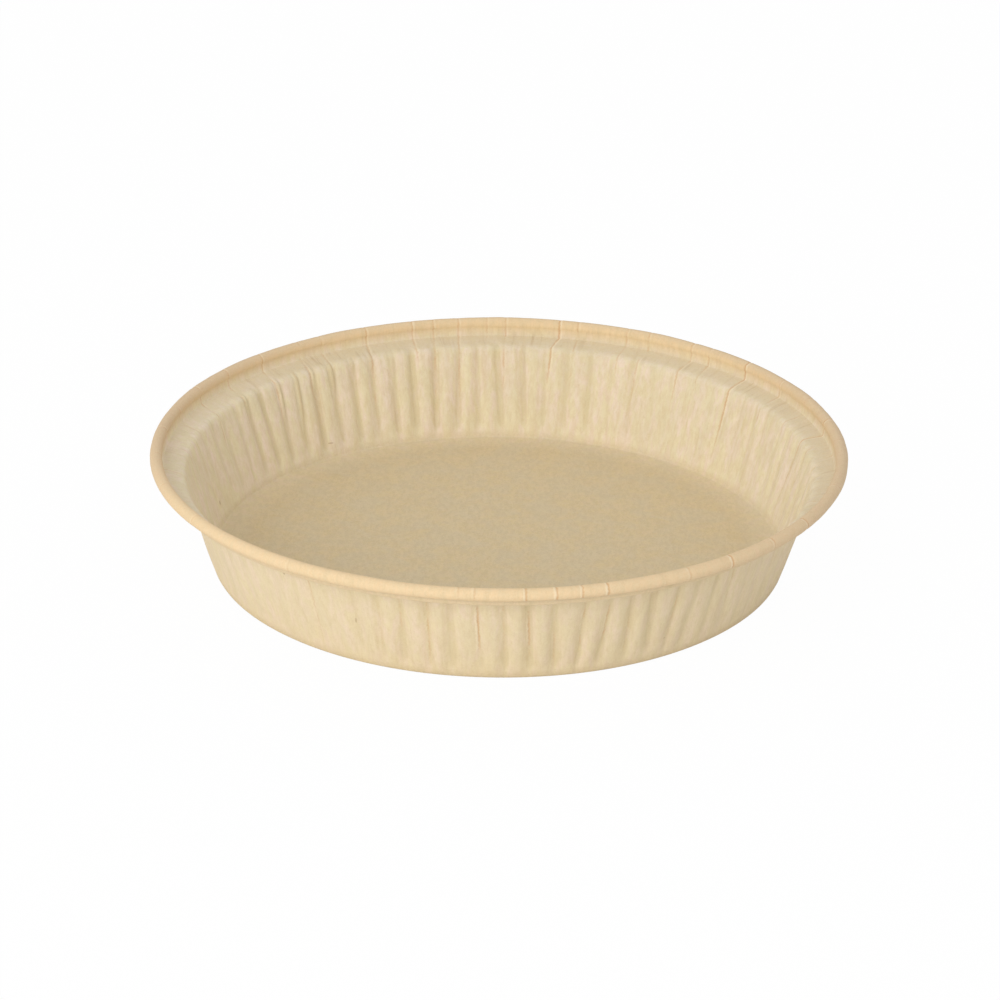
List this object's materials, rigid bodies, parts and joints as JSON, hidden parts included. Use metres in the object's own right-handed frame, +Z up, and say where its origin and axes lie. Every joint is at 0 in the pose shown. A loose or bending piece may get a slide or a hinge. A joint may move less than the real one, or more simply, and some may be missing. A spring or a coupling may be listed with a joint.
{
  "type": "paper baking mold",
  "caption": "Round shallow baking mold of stiff brown paper, with a flat floor, a fluted flaring wall, a narrow ledge and a rolled rim.",
  "frame": {"origin": "middle of the underside of the floor, on the surface that the mold stands on", "axes": "+Z up along the axis of the round mold, out of its open mouth; +X to the right and +Y away as seen in the picture"},
  "size_m": [0.185, 0.185, 0.0317],
  "materials": {
    "baking_paper": "stiff unbleached brown paper, matt and slightly mottled, with short fibres showing"
  },
  "bodies": {
    "root": {"baking_mold": "baking_paper"}
  },
  "joints": []
}
